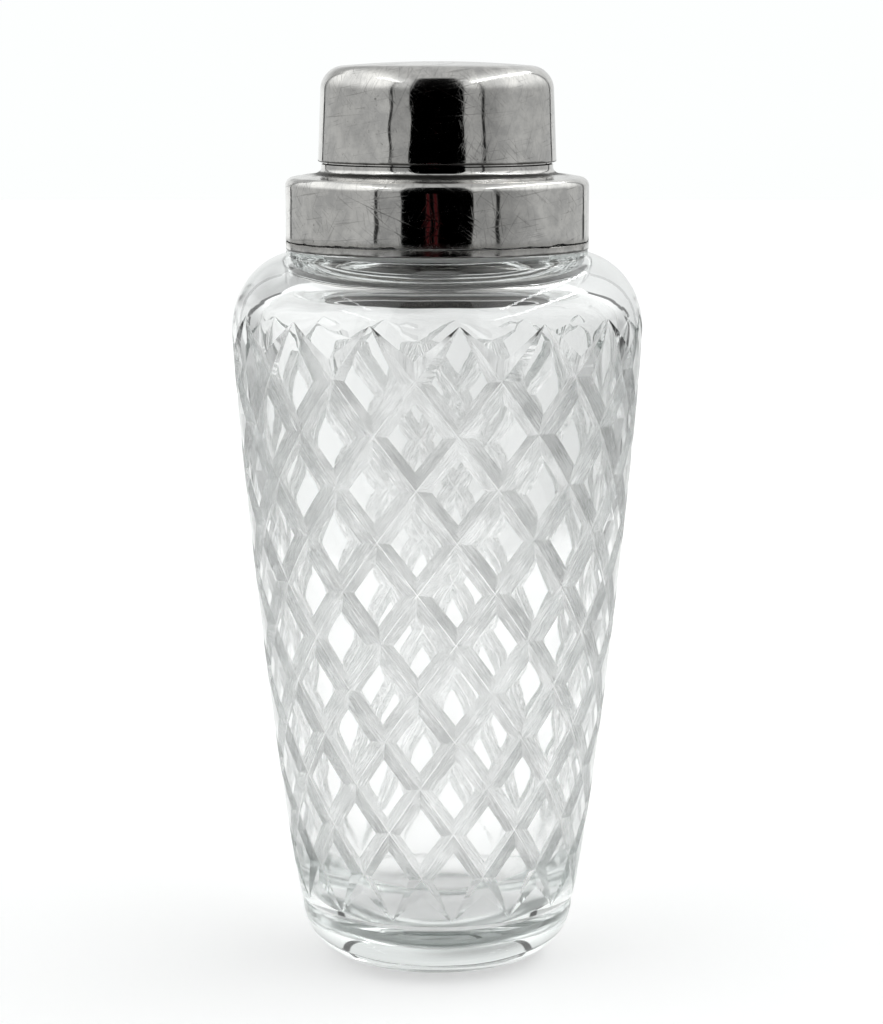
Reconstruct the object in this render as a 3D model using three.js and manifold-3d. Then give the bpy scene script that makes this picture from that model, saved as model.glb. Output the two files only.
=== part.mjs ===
// Cut-glass cocktail shaker with a silver-plated strainer top and cap.
// Millimetres, +Z up. The origin is the centre of the flat underside of the glass.
import * as THREE from "three";
import Module from "manifold-3d";
import { mergeVertices } from "three/addons/utils/BufferGeometryUtils.js";

// ---------------------------------------------------------------- driving dimensions

const totalHeight = 225;
const sheet = 0.9; // thickness of the spun metal sheet
const fitGap = 0.3; // room between two pieces that touch
const metalSides = 48; // flat sides that stand for a circle on the metal pieces

// glass, outside
const heelWidth = 14.3; // the round heel between the resting flat and the foot's side
const footTop = 13.4; // top of the plain foot
const ringCutTop = 15.7; // shallow ring cut above the foot
const ringCutDepth = 0.5;
const footRadius = 34.4;
const footLean = [6.1, 25.9]; // out and up: how the side leaves the foot
const bellyRadius = 50.9; // widest part of the glass
const bellyHeight = 160;
const bellyLead = 14.4; // length below the belly over which the side turns upright
const shoulderWidth = 17.3; // quarter ellipse from the belly in to the seat
const shoulderHeight = 18.7;
const seatHeight = 178.9; // flat ring that carries the metal collar
const seatRadius = 37.4;
const neckRadius = 34.4;
const neckTop = 191.6;
const neckBore = 28.6;
const lipRound = 2.2;
const neckFillet = 0.8;

// glass, inside
const floorHeight = 11;
const wall = 6;
const innerShoulderTop = 172;
const innerShoulderWidth = 12;
const boreCorner = 2; // round from the bore to the inner shoulder
const floorCorner = [32, 24]; // round from the inner wall to the floor, across and up

// cut lattice: crossing mitre cuts that leave flat diamonds standing
const columns = 15;
const rowCount = 12;
const topRowHeight = 164.4;
const firstRowStep = 13.3; // height between the first two rows of crossings
const rowStepLoss = 1 / 6; // each step down is this much shorter than the one above
const diamondShare = 0.62; // width of a flat diamond over the width of its cell
const cutDepth = 1.4; // at the belly; the cuts get shallower as the glass narrows
const latticeTurn = 6; // degrees from the front (-Y) to the first crossing of even rows

// strainer top
const collarRadius = 37.5;
const collarBottom = seatHeight + fitGap;
const baseBandHeight = 1.9;
const baseBandDepth = 2.3;
const baseBandChamfer = 0.3;
const collarEdgeHeight = 194.6;
const collarEdgeRound = 2.3;
const shoulderRise = 0.6; // slope of the collar's shoulder up to the flare
const flareHeight = 1.8;
const spoutFlareRadius = 31.2;
const spoutSeatRadius = 28.6;
const spoutSeatHeight = 200.3; // step that the cap comes down on
const spoutRadius = 28;
const spoutTopRadius = 27.2;
const spoutTop = 214.9;
const rimWireRadius = 0.7;
const strainerHeight = 203;
const strainerThickness = 1;
const strainerEdgeGap = 0.5;
const strainerRings = 3; // rings of holes round the middle hole
const strainerPitch = 6.4;
const strainerHoleRadius = 1.8;
const strainerHoleSides = 8;

// plug under the strainer top
const sleeveRadius = 25.4;
const sleeveBottom = 170.4;
const flangeRadius = 35;
const flangeHeight = 194.8;
const retainerHeight = 1.2;
const sealChamfer = 0.6;

// cap
const capRadius = 29.4;
const capBottom = spoutSeatHeight + fitGap;
const capTopRadius = 28.7;
const capEdgeRound = 6;
const capDomeHeight = 1; // rise of the low dome inside the rounded edge
const corkRadius = 27.1;
const corkBottom = 217;

// ---------------------------------------------------------------- materials

const crystal = new THREE.MeshStandardMaterial({
  color: 0xeef2f1, roughness: 0.03, metalness: 0, transparent: true, opacity: 0.4,
});
const silver = new THREE.MeshStandardMaterial({ color: 0xcfcdc6, roughness: 0.14, metalness: 1 });
const tarnished = new THREE.MeshStandardMaterial({ color: 0x4a4742, roughness: 0.4, metalness: 1 });
const greyRubber = new THREE.MeshStandardMaterial({ color: 0x8f8f8c, roughness: 0.75, metalness: 0 });
const cork = new THREE.MeshStandardMaterial({ color: 0xb98d5c, roughness: 0.9, metalness: 0 });

// ---------------------------------------------------------------- shared helpers

const wasm = await Module();
wasm.setup();

const point = (radius, height) => new THREE.Vector2(radius, height);

// Points of a quarter ellipse, or part of one, about (cx, cy), both ends included.
function arc(cx, cy, rx, ry, fromDegrees, toDegrees, steps) {
  return Array.from({ length: steps + 1 }, (_, i) => {
    const angle = THREE.MathUtils.degToRad(fromDegrees + ((toDegrees - fromDegrees) * i) / steps);
    return point(cx + rx * Math.cos(angle), cy + ry * Math.sin(angle));
  });
}

// A solid of revolution from a closed or axis-to-axis profile that runs anticlockwise.
function turned(name, profile, material) {
  const closed = profile[0].x > 0 ? [...profile, profile[0]] : profile;
  const geometry = new THREE.LatheGeometry(closed, metalSides);
  geometry.rotateX(Math.PI / 2);
  const mesh = new THREE.Mesh(geometry, material);
  mesh.name = name;
  return mesh;
}

// The same geometry with its shared vertices merged and its tiny faces gone.
function tidied(geometry) {
  geometry.deleteAttribute("normal");
  geometry.deleteAttribute("uv");
  const merged = mergeVertices(geometry, 1e-3);
  const solid = new wasm.Manifold(
    new wasm.Mesh({
      numProp: 3,
      vertProperties: merged.attributes.position.array,
      triVerts: new Uint32Array(merged.index.array),
    }),
  );
  const { vertProperties, triVerts } = solid.getMesh();
  return new THREE.BufferGeometry()
    .setAttribute("position", new THREE.BufferAttribute(vertProperties, 3))
    .setIndex(new THREE.BufferAttribute(triVerts, 1));
}

// ---------------------------------------------------------------- glass: outline

const sideCurve = new THREE.CubicBezierCurve(
  point(footRadius, footTop),
  point(footRadius + footLean[0], footTop + footLean[1]),
  point(bellyRadius, bellyHeight - bellyLead),
  point(bellyRadius, bellyHeight),
);

// Outer radius at a height, on the side curve below the belly and on the shoulder above it.
function outerRadius(height) {
  if (height >= bellyHeight) {
    const rise = (height - bellyHeight) / shoulderHeight;
    return bellyRadius - shoulderWidth * (1 - Math.sqrt(1 - rise * rise));
  }
  let low = 0;
  let high = 1;
  for (let i = 0; i < 40; i++) {
    const middle = (low + high) / 2;
    if (sideCurve.getPoint(middle).y < height) low = middle;
    else high = middle;
  }
  return sideCurve.getPoint(low).x;
}

// ---------------------------------------------------------------- glass: mesh building

const halfColumn = 180 / columns; // degrees
const ringSides = 4 * columns;

// A point at an angle in degrees from the front (-Y), counted towards +X.
function at(degrees, radius, height) {
  const angle = THREE.MathUtils.degToRad(degrees);
  return [radius * Math.sin(angle), -radius * Math.cos(angle), height];
}

// A level ring of points, starting at the lattice's first crossing.
function ring({ x: radius, y: height }) {
  const step = 360 / ringSides;
  return Array.from({ length: ringSides }, (_, i) => at(latticeTurn + step * i, radius, height));
}

// Joins two closed loops into a band of triangles. The upper loop has as many points as the
// lower one, or twice as many, and both start at the same angle.
function band(lower, upper, triangles) {
  const count = lower.length;
  const split = upper.length / count;
  for (let i = 0; i < count; i++) {
    const a = lower[i];
    const b = lower[(i + 1) % count];
    const c = upper[(i * split) % upper.length];
    const d = upper[(i * split + 1) % upper.length];
    triangles.push([a, b, d], [a, d, c]);
    if (split === 2) triangles.push([d, b, upper[(i * 2 + 2) % upper.length]]);
  }
}

const flipped = (triangles) => triangles.map(([a, b, c]) => [a, c, b]);

const rowHeight = (row) => topRowHeight - firstRowStep * row + (rowStepLoss * row * row) / 2;

// A crossing of two cuts. In the first and last row the cuts run out at the surface.
function crossing(row, degrees) {
  const height = rowHeight(row);
  const surface = outerRadius(height);
  const runsOut = row === 0 || row === rowCount;
  return at(degrees, runsOut ? surface : surface - (cutDepth * surface) / bellyRadius, height);
}

// A diamond's corner towards the crossing that lies `columnsOver` and `rowsOver` from its middle.
function corner(row, degrees, columnsOver, rowsOver) {
  const target = row + rowsOver;
  const runsOut = target === 0 || target === rowCount;
  const share = runsOut && rowsOver !== 0 ? 1 : diamondShare;
  const height = rowHeight(row) + share * (rowHeight(target) - rowHeight(row));
  return at(degrees + share * columnsOver * halfColumn, outerRadius(height), height);
}

// One flat diamond and the four slopes of the cuts round it.
function diamondCell(row, degrees, triangles) {
  const sides = [[0, 1], [1, 0], [0, -1], [-1, 0]]; // bottom, right, top, left
  const corners = sides.map(([across, down]) => corner(row, degrees, across, down));
  const nodes = sides.map(([across, down]) =>
    crossing(row + down, degrees + across * halfColumn));
  const middle = at(degrees, outerRadius(rowHeight(row)), rowHeight(row));
  for (let i = 0; i < 4; i++) {
    const next = (i + 1) % 4;
    triangles.push([corners[i], corners[next], middle]);
    triangles.push([nodes[i], nodes[next], corners[next]], [nodes[i], corners[next], corners[i]]);
  }
}

// The zigzag edge where the lattice meets the plain glass, and its outermost slopes.
// side is -1 at the top of the lattice and 1 at the bottom.
function latticeEdge(side, triangles) {
  const row = side < 0 ? 0 : rowCount;
  const loop = [];
  const slopes = [];
  for (let column = 0; column < columns; column++) {
    const degrees = latticeTurn + 2 * halfColumn * column;
    const between = degrees + halfColumn;
    const apex = crossing(row, degrees);
    const notch = corner(row, between, 0, -side);
    const node = crossing(row - side, between);
    const nextApex = crossing(row, degrees + 2 * halfColumn);
    slopes.push([apex, node, notch], [notch, node, nextApex]);
    loop.push(apex, notch);
  }
  triangles.push(...(side < 0 ? slopes : flipped(slopes)));
  return loop;
}

// ---------------------------------------------------------------- glass body

function latticeTriangles() {
  const triangles = [];
  for (let row = 1; row < rowCount; row++) {
    const offset = row % 2 ? 0 : halfColumn;
    for (let column = 0; column < columns; column++) {
      diamondCell(row, latticeTurn + offset + 2 * halfColumn * column, triangles);
    }
  }
  return triangles;
}

// Outline below the lattice, from the edge of the resting flat up to the ring cut.
function footOutline() {
  const heelCentre = footRadius - heelWidth;
  const cutMiddle = (footTop + ringCutTop) / 2;
  return [
    ...arc(heelCentre, footTop, heelWidth, footTop, -90, 0, 6),
    point(outerRadius(cutMiddle) - ringCutDepth, cutMiddle),
    point(outerRadius(ringCutTop), ringCutTop),
  ];
}

// Outline above the lattice: shoulder, seat, neck and lip.
function shoulderOutline() {
  const shoulderCentre = bellyRadius - shoulderWidth;
  const [start, end] = [24, 77]; // degrees of the quarter ellipse: above the lattice, to the seat
  const filletCentre = [neckRadius + neckFillet, seatHeight + neckFillet];
  const lipMiddle = (neckRadius + neckBore) / 2;
  const lipWidth = (neckRadius - neckBore) / 2;
  return [
    ...arc(shoulderCentre, bellyHeight, shoulderWidth, shoulderHeight, start, end, 5),
    point(seatRadius, seatHeight),
    ...arc(...filletCentre, neckFillet, neckFillet, -90, -180, 2),
    ...arc(lipMiddle, neckTop - lipRound, lipWidth, lipRound, 0, 180, 4),
  ];
}

// Outline inside the glass, from the foot of the bore down to the edge of the floor.
function innerOutline() {
  const boreCentre = [neckBore + boreCorner, innerShoulderTop + boreCorner];
  const shoulderCentre = bellyRadius - wall - innerShoulderWidth;
  const innerRise = innerShoulderTop - bellyHeight;
  const sideHeights = [145, 115, 85, 55]; // enough levels to follow the curved side
  const [cornerWidth, cornerRise] = floorCorner;
  const cornerTop = floorHeight + cornerRise;
  const cornerCentre = outerRadius(cornerTop) - wall - cornerWidth;
  return [
    ...arc(...boreCentre, boreCorner, boreCorner, 180, 270, 2),
    ...arc(shoulderCentre, bellyHeight, innerShoulderWidth, innerRise, 84, 0, 4),
    ...sideHeights.map((height) => point(outerRadius(height) - wall, height)),
    ...arc(cornerCentre, cornerTop, cornerWidth, cornerRise, 0, -90, 6),
  ];
}

function glassGeometry() {
  const triangles = latticeTriangles();
  const topEdge = latticeEdge(-1, triangles);
  const bottomEdge = latticeEdge(1, triangles);

  const above = [...shoulderOutline(), ...innerOutline()].map((p) => ring(p));
  band(topEdge, above[0], triangles);
  above.slice(1).forEach((loop, i) => band(above[i], loop, triangles));

  const below = footOutline().map((p) => ring(p));
  below.slice(1).forEach((loop, i) => band(below[i], loop, triangles));
  const upward = [];
  band(bottomEdge, below.at(-1), upward);
  triangles.push(...flipped(upward));

  const floor = above.at(-1);
  const rest = below[0];
  for (let i = 0; i < ringSides; i++) {
    const next = (i + 1) % ringSides;
    triangles.push([floor[i], floor[next], [0, 0, floorHeight]]);
    triangles.push([rest[next], rest[i], [0, 0, 0]]);
  }
  const positions = new Float32Array(triangles.flat(2));
  return tidied(
    new THREE.BufferGeometry().setAttribute("position", new THREE.BufferAttribute(positions, 3)),
  );
}

function glassBody() {
  const mesh = new THREE.Mesh(glassGeometry(), crystal);
  mesh.name = "glass_body";
  return mesh;
}

// ---------------------------------------------------------------- strainer top

// Skirt, shoulder and spout, spun from one sheet. The skirt ends on the base band.
function collarShell() {
  const skirtBottom = collarBottom + baseBandHeight + fitGap;
  const edgeCentre = collarRadius - collarEdgeRound;
  const shoulderTop = collarEdgeHeight + collarEdgeRound + shoulderRise;
  const flareWidth = spoutFlareRadius - spoutSeatRadius;
  const flareCentre = shoulderTop + flareHeight;
  const inside = collarEdgeRound - sheet;
  return turned("collar_shell", [
    point(collarRadius, skirtBottom),
    ...arc(edgeCentre, collarEdgeHeight, collarEdgeRound, collarEdgeRound, 0, 90, 4),
    ...arc(spoutFlareRadius, flareCentre, flareWidth, flareHeight, 270, 180, 4),
    point(spoutSeatRadius, spoutSeatHeight),
    point(spoutRadius, spoutSeatHeight),
    point(spoutTopRadius, spoutTop),
    point(spoutTopRadius - sheet, spoutTop),
    point(spoutRadius - sheet, spoutSeatHeight),
    point(spoutRadius - sheet, flareCentre),
    point(spoutFlareRadius, shoulderTop - sheet),
    ...arc(edgeCentre, collarEdgeHeight, inside, inside, 90, 0, 3),
    point(collarRadius - sheet, skirtBottom),
  ], silver);
}

// Flat strip soldered round the foot of the skirt; it rests on the glass.
function collarBaseBand() {
  const top = collarBottom + baseBandHeight;
  const inner = collarRadius - baseBandDepth;
  return turned("collar_base_band", [
    point(inner, collarBottom),
    point(collarRadius - baseBandChamfer, collarBottom),
    point(collarRadius, collarBottom + baseBandChamfer),
    point(collarRadius, top),
    point(inner, top),
  ], silver);
}

// Tube that goes down into the glass neck, with a flange soldered under the shoulder.
function plugSleeve() {
  const bore = sleeveRadius - sheet;
  return turned("plug_sleeve", [
    point(bore, sleeveBottom),
    point(sleeveRadius, sleeveBottom),
    point(sleeveRadius, flangeHeight),
    point(flangeRadius, flangeHeight),
    point(flangeRadius, flangeHeight + sheet),
    point(bore, flangeHeight + sheet),
  ], silver);
}

// Ring that grips the bore of the glass neck.
function neckSeal() {
  const inner = sleeveRadius + fitGap;
  const outer = neckBore - fitGap;
  const bottom = sleeveBottom + retainerHeight + fitGap;
  const top = flangeHeight - fitGap;
  return turned("neck_seal", [
    point(inner, bottom),
    point(outer - sealChamfer, bottom),
    point(outer, bottom + sealChamfer),
    point(outer, top),
    point(inner, top),
  ], greyRubber);
}

// Dark ring at the end of the sleeve that keeps the seal on.
function sealRetainer() {
  const inner = sleeveRadius + fitGap;
  const round = retainerHeight / 2;
  const edgeCentre = neckBore - 2 * fitGap - round;
  return turned("seal_retainer", [
    point(inner, sleeveBottom),
    ...arc(edgeCentre, sleeveBottom + round, round, round, -90, 90, 3),
    point(inner, sleeveBottom + retainerHeight),
  ], tarnished);
}

// Rounded wire on the edge of the spout.
function spoutRimWire() {
  const centre = spoutTopRadius - sheet / 2;
  const height = spoutTop + fitGap + rimWireRadius;
  return turned(
    "spout_rim_wire",
    arc(centre, height, rimWireRadius, rimWireRadius, 0, 300, 5),
    silver,
  );
}

function circlePoints(cx, cy, radius, sides) {
  return Array.from({ length: sides }, (_, i) => {
    const angle = (2 * Math.PI * i) / sides;
    return point(cx + radius * Math.cos(angle), cy + radius * Math.sin(angle));
  });
}

// Disc across the foot of the spout, with a middle hole and rings of 6, 12 and 18 holes.
function strainerPlate() {
  const plateRadius = spoutRadius - sheet - strainerEdgeGap;
  const outline = new THREE.Shape(circlePoints(0, 0, plateRadius, metalSides));
  for (let ringNumber = 0; ringNumber <= strainerRings; ringNumber++) {
    const holes = Math.max(1, 6 * ringNumber);
    circlePoints(0, 0, ringNumber * strainerPitch, holes).forEach(({ x, y }) => {
      outline.holes.push(new THREE.Path(circlePoints(x, y, strainerHoleRadius, strainerHoleSides)));
    });
  }
  const geometry = new THREE.ExtrudeGeometry(outline, {
    depth: strainerThickness,
    bevelEnabled: false,
  });
  const mesh = new THREE.Mesh(geometry, silver);
  mesh.name = "strainer_plate";
  mesh.position.z = strainerHeight;
  return mesh;
}

// ---------------------------------------------------------------- cap

// Half of the cap's outline, from the middle of the top out and down to the rim.
function capOutline(inset) {
  const edgeHeight = totalHeight - capDomeHeight - capEdgeRound;
  const edgeCentre = capTopRadius - capEdgeRound;
  const round = capEdgeRound - inset;
  return [
    point(0, totalHeight - inset),
    point(edgeCentre / 2, totalHeight - inset - capDomeHeight / 4),
    ...arc(edgeCentre, edgeHeight, round, round, 90, 0, 5),
    point(capRadius - inset, capBottom),
  ];
}

function capShell() {
  return turned("cap_shell", [...capOutline(sheet), ...capOutline(0).reverse()], silver);
}

// Cork that fills the crown of the cap and seals the spout.
function capCork() {
  const edgeHeight = totalHeight - capDomeHeight - capEdgeRound;
  const edgeCentre = capTopRadius - capEdgeRound;
  const round = capEdgeRound - sheet - fitGap;
  return turned("cap_cork", [
    point(0, corkBottom),
    point(corkRadius, corkBottom),
    ...arc(edgeCentre, edgeHeight, round, round, 25, 90, 3),
    point(0, totalHeight - capDomeHeight - sheet - fitGap),
  ], cork);
}

// ---------------------------------------------------------------- assembly

const strainerTop = new THREE.Group();
strainerTop.add(
  collarShell(),
  collarBaseBand(),
  plugSleeve(),
  neckSeal(),
  sealRetainer(),
  strainerPlate(),
  spoutRimWire(),
);

const cap = new THREE.Group();
cap.add(capShell(), capCork());

const shaker = new THREE.Group();
shaker.name = "cocktail_shaker";
shaker.add(glassBody(), strainerTop, cap);

export default shaker;
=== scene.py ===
"""Looks for the cut-glass cocktail shaker: fine meshes, materials, light and camera.

Lengths in the outlines are in millimetres and become metres when a mesh is made.
Angles round the shaker are in degrees from the front (-Y), counted towards +X.
"""
import math
import random

import bmesh
import bpy
import numpy as np
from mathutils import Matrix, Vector


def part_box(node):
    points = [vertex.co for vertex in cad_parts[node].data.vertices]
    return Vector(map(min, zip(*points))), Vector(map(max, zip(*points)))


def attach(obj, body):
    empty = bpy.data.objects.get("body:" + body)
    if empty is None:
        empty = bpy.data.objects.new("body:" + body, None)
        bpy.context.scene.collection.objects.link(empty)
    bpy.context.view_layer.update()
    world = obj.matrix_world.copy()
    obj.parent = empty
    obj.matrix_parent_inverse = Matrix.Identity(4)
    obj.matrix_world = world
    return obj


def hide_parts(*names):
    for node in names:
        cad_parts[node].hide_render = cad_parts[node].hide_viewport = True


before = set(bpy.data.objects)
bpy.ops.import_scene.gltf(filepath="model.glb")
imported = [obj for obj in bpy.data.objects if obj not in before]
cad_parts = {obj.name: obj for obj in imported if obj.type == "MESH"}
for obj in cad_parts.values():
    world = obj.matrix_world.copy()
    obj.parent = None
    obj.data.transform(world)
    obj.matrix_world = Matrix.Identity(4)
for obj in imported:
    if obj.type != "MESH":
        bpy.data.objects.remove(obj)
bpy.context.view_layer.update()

MM = 0.001
chance = random.Random(7)

# ---------------------------------------------------------------- sizes from the frame


def box_mm(node):
    """Radius, bottom and top of a CAD node, in millimetres."""
    low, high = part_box(node)
    return (high[1] - low[1]) / 2 / MM, low[2] / MM, high[2] / MM


COLLAR_RADIUS, SKIRT_BOTTOM, SPOUT_TOP = box_mm("collar_shell")
_, BAND_BOTTOM, BAND_TOP = box_mm("collar_base_band")
CAP_RADIUS, CAP_BOTTOM, CAP_TOP = box_mm("cap_shell")
CORK_RADIUS, CORK_BOTTOM, CORK_TOP = box_mm("cap_cork")
FLANGE_RADIUS, SLEEVE_BOTTOM, FLANGE_TOP = box_mm("plug_sleeve")
SEAL_RADIUS, SEAL_BOTTOM, SEAL_TOP = box_mm("neck_seal")
RETAINER_RADIUS, RETAINER_BOTTOM, RETAINER_TOP = box_mm("seal_retainer")
PLATE_RADIUS, PLATE_BOTTOM, PLATE_TOP = box_mm("strainer_plate")
WIRE_RADIUS, WIRE_BOTTOM, WIRE_TOP = box_mm("spout_rim_wire")
_, _, NECK_TOP = box_mm("glass_body")

# glass outline
FOOT_TOP, FOOT_RADIUS, HEEL_WIDTH = 13.4, 34.4, 14.3
FOOT_LEAN = (6.1, 25.9)
RING_CUT_TOP, RING_CUT_DEPTH = 15.7, 0.5
BELLY_RADIUS, BELLY_HEIGHT, BELLY_LEAD = 50.9, 160, 14.4
SHOULDER_WIDTH, SHOULDER_HEIGHT = 17.3, 18.7
SEAT_RADIUS, SEAT_HEIGHT = 37.4, 178.9
NECK_RADIUS, NECK_BORE, NECK_FILLET, LIP_ROUND = 34.4, 28.6, 0.8, 2.2
FLOOR_HEIGHT, WALL = 11, 6
INNER_SHOULDER_TOP, INNER_SHOULDER_WIDTH, BORE_CORNER = 172, 12, 2
FLOOR_CORNER = (32, 24)

# cut lattice
COLUMNS, ROWS = 15, 12
HALF_COLUMN = 180 / COLUMNS
TOP_ROW_HEIGHT, FIRST_ROW_STEP, ROW_STEP_LOSS = 164.4, 13.3, 1 / 6
DIAMOND_SHARE, CUT_DEPTH, LATTICE_TURN = 0.62, 1.4, 6
FACET_STEPS, FACET_ROWS = 6, 3
GROOVE_FLAT = 0.035
# face marks read by the crystal's material: slopes run from the clear to the greyest mark, whose
# grey is painted shade
CLEAR_SLOPE, GREY_SLOPE, INSIDE = 1.0, 1.6, 2.0

# metal and seal
SHEET, FIT_GAP, SEAL_BORE = 0.9, 0.3, 25.7
TURNED_STEPS = 160

# ---------------------------------------------------------------- outlines


def arc(cx, cy, rx, ry, start, end, steps):
    """Points of part of an ellipse about (cx, cy), both ends included."""
    angles = np.radians(np.linspace(start, end, steps + 1))
    return [(cx + rx * math.cos(a), cy + ry * math.sin(a)) for a in angles]


def side_outline(steps=300):
    """Radii and heights up the glass from the foot to the seat, as two rising arrays."""
    t = np.linspace(0, 1, steps)[:, None]
    knots = np.array([
        (FOOT_RADIUS, FOOT_TOP),
        (FOOT_RADIUS + FOOT_LEAN[0], FOOT_TOP + FOOT_LEAN[1]),
        (BELLY_RADIUS, BELLY_HEIGHT - BELLY_LEAD),
        (BELLY_RADIUS, BELLY_HEIGHT),
    ])
    weights = [(1 - t) ** 3, 3 * t * (1 - t) ** 2, 3 * t * t * (1 - t), t ** 3]
    side = sum(w * k for w, k in zip(weights, knots))
    centre = BELLY_RADIUS - SHOULDER_WIDTH
    shoulder = arc(centre, BELLY_HEIGHT, SHOULDER_WIDTH, SHOULDER_HEIGHT, 0, 90, steps)
    outline = np.concatenate([side, np.array(shoulder)[1:]])
    return outline[:, 0], outline[:, 1]


SIDE_RADII, SIDE_HEIGHTS = side_outline()


def outer_radius(height):
    return float(np.interp(height, SIDE_HEIGHTS, SIDE_RADII))


def foot_outline():
    """From the edge of the resting flat up to the top of the ring cut."""
    cut_middle = (FOOT_TOP + RING_CUT_TOP) / 2
    return [
        *arc(FOOT_RADIUS - HEEL_WIDTH, FOOT_TOP, HEEL_WIDTH, FOOT_TOP, -90, 0, 20),
        (outer_radius(cut_middle) - RING_CUT_DEPTH, cut_middle),
        (outer_radius(RING_CUT_TOP), RING_CUT_TOP),
    ]


def shoulder_outline():
    """From just above the lattice over the shoulder, seat and neck to the inner edge of the lip."""
    centre = BELLY_RADIUS - SHOULDER_WIDTH
    fillet = (NECK_RADIUS + NECK_FILLET, SEAT_HEIGHT + NECK_FILLET)
    lip_middle = (NECK_RADIUS + NECK_BORE) / 2
    lip_width = (NECK_RADIUS - NECK_BORE) / 2
    start, end = 24, 77
    return [
        *arc(centre, BELLY_HEIGHT, SHOULDER_WIDTH, SHOULDER_HEIGHT, start, end, 20),
        (SEAT_RADIUS, SEAT_HEIGHT),
        *arc(*fillet, NECK_FILLET, NECK_FILLET, -90, -180, 4),
        *arc(lip_middle, NECK_TOP - LIP_ROUND, lip_width, LIP_ROUND, 0, 180, 16),
    ]


def inner_outline():
    """From the foot of the bore down the inside to the edge of the flat floor."""
    centre = BELLY_RADIUS - WALL - INNER_SHOULDER_WIDTH
    rise = INNER_SHOULDER_TOP - BELLY_HEIGHT
    width, corner_rise = FLOOR_CORNER
    corner_top = FLOOR_HEIGHT + corner_rise
    corner_centre = outer_radius(corner_top) - WALL - width
    bore = (NECK_BORE + BORE_CORNER, INNER_SHOULDER_TOP + BORE_CORNER)
    margin = 4
    heights = np.linspace(BELLY_HEIGHT - margin, corner_top + margin, 24)
    return [
        *arc(*bore, BORE_CORNER, BORE_CORNER, 180, 270, 8),
        *arc(centre, BELLY_HEIGHT, INNER_SHOULDER_WIDTH, rise, 84, 0, 16),
        *[(outer_radius(h) - WALL, h) for h in heights],
        *arc(corner_centre, corner_top, width, corner_rise, 0, -90, 16),
        (corner_centre / 2, FLOOR_HEIGHT),
    ]


# ---------------------------------------------------------------- mesh building


class Mesh:
    """Collects welded vertices and faces, in millimetres."""

    def __init__(self):
        self.points, self.known, self.faces = [], {}, []
        self.marks, self.spots = [], []

    def point(self, x, y, z):
        key = (round(x, 4), round(y, 4), round(z, 4))
        if key not in self.known:
            self.known[key] = len(self.points)
            self.points.append((x * MM, y * MM, z * MM))
        return self.known[key]

    def polar(self, degrees, radius, height):
        angle = math.radians(degrees)
        return self.point(radius * math.sin(angle), -radius * math.cos(angle), height)

    def face(self, *indices, mark=0.0, spots=None):
        """spots gives each corner a place on its slope: millimetres along the cut and across it."""
        corners = list(dict.fromkeys(indices))
        if len(corners) > 2:
            known_spots = dict(zip(indices, spots or [(0, 0)] * len(indices)))
            self.faces.append(corners)
            self.marks.append(mark)
            self.spots.extend(known_spots[i] for i in corners)

    def ring(self, radius, height, steps, turn=0.0):
        if radius < 1e-6:
            return [self.point(0, 0, height)] * steps
        return [self.polar(turn + 360 * i / steps, radius, height) for i in range(steps)]

    def band(self, lower, upper, mark=0.0):
        for i in range(len(lower)):
            j = (i + 1) % len(lower)
            self.face(lower[i], lower[j], upper[j], upper[i], mark=mark)

    def finish(self, name, sharp_degrees=30, marks_name=None):
        data = bpy.data.meshes.new(name)
        data.from_pydata(self.points, [], self.faces)
        if marks_name:
            layer = data.attributes.new(marks_name, "FLOAT", "FACE")
            layer.data.foreach_set("value", self.marks)
            places = data.uv_layers.new(name="along_the_cuts")
            places.data.foreach_set("uv", np.array(self.spots, dtype=float).ravel())
        shape = bmesh.new()
        shape.from_mesh(data)
        bmesh.ops.recalc_face_normals(shape, faces=shape.faces)
        shape.to_mesh(data)
        shape.free()
        data.shade_smooth()
        data.set_sharp_from_angle(angle=math.radians(sharp_degrees))
        piece = bpy.data.objects.new(name, data)
        bpy.context.scene.collection.objects.link(piece)
        return piece


def turned(name, outline, sharp_degrees=30):
    """A solid of revolution. The outline runs anticlockwise and closes on itself or on the axis."""
    mesh = Mesh()
    rings = [mesh.ring(r, z, TURNED_STEPS) for r, z in outline]
    if outline[0][0] > 1e-6:
        rings.append(rings[0])
    for lower, upper in zip(rings, rings[1:]):
        mesh.band(lower, upper)
    return mesh.finish(name, sharp_degrees)


# ---------------------------------------------------------------- cut glass


def row_height(row):
    return TOP_ROW_HEIGHT - FIRST_ROW_STEP * row + ROW_STEP_LOSS * row * row / 2


def cut_depth(height):
    """The cuts get shallower as the glass narrows."""
    return CUT_DEPTH * outer_radius(height) / BELLY_RADIUS


def crossing(row, degrees):
    """Angle, height and depth where two cuts cross. The outermost rows run out at the surface."""
    height = row_height(row)
    runs_out = row in (0, ROWS)
    return degrees, height, 0.0 if runs_out else cut_depth(height)


def corner(row, degrees, across, down):
    """A diamond's corner towards a neighbouring crossing, as angle, height and depth."""
    target = row + down
    share = 1.0 if down and target in (0, ROWS) else DIAMOND_SHARE
    height = row_height(row) + share * (row_height(target) - row_height(row))
    return degrees + share * across * HALF_COLUMN, height, 0.0


def patch_size(start, end):
    """Rough distance in millimetres between two places given as angle, height and depth."""
    return math.hypot(math.radians(end[0] - start[0]) * outer_radius(start[1]), end[1] - start[1])


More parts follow.
